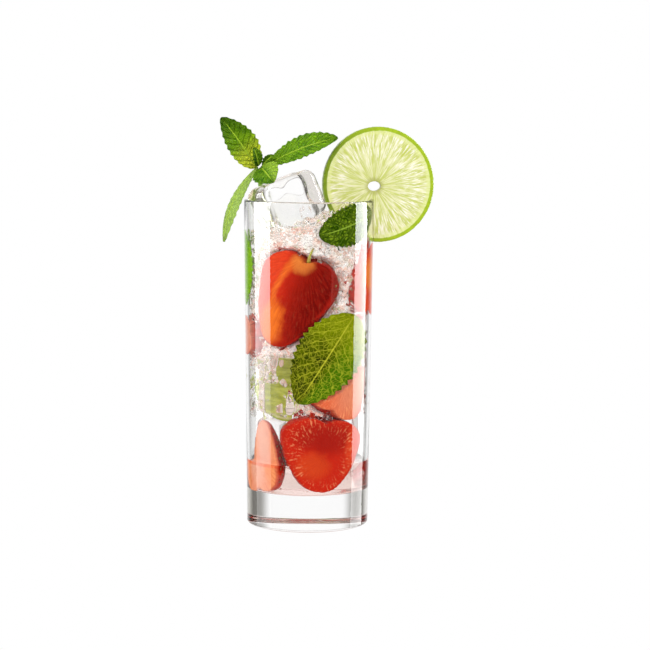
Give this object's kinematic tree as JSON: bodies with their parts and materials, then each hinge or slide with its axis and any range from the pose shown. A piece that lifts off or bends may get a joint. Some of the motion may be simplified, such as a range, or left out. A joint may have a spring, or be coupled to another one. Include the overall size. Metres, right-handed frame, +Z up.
{
  "type": "mojito cocktail",
  "caption": "Straight highball glass filled with crushed ice, strawberry halves, mint and a little pale drink, with a lime slice on the rim and a sprig of mint",
  "frame": {"origin": "centre of the underside of the glass, on the surface it stands on", "axes": "+Z up along the glass, -Y towards the viewer, +X towards the lime slice on the rim"},
  "size_m": [0.1026, 0.062, 0.195],
  "materials": {
    "glass": "clear, polished",
    "drink": "clear pale pink liquid",
    "crushed_ice": "crushed ice, white with clear facets",
    "clear_ice": "clear wet ice",
    "strawberry": "wet fruit flesh and skin",
    "lime": "wet lime flesh, green rind",
    "mint": "fresh leaf"
  },
  "bodies": {
    "root": {"crushed_ice": "crushed_ice", "drink": "drink", "glass": "glass", "ice_cube_left": "clear_ice", "ice_cube_low_left": "clear_ice", "ice_cube_right": "clear_ice", "ice_cube_top": "clear_ice", "lime_slice": "lime", "lime_wedge": "lime", "mint_leaf_back": "mint", "mint_leaf_centre": "mint", "mint_leaf_left": "mint", "mint_leaf_upper_right": "mint", "sprig_leaf_front": "mint", "sprig_leaf_hanging": "mint", "sprig_leaf_right": "mint", "sprig_leaf_upper_left": "mint", "sprig_leaf_young_right": "mint", "sprig_leaf_young_up": "mint", "sprig_stem": "mint", "strawberry_back": "strawberry", "strawberry_left": "strawberry", "strawberry_lower": "strawberry", "strawberry_lower_left": "strawberry", "strawberry_middle_right": "strawberry", "strawberry_right": "strawberry", "strawberry_upper": "strawberry"}
  },
  "joints": []
}
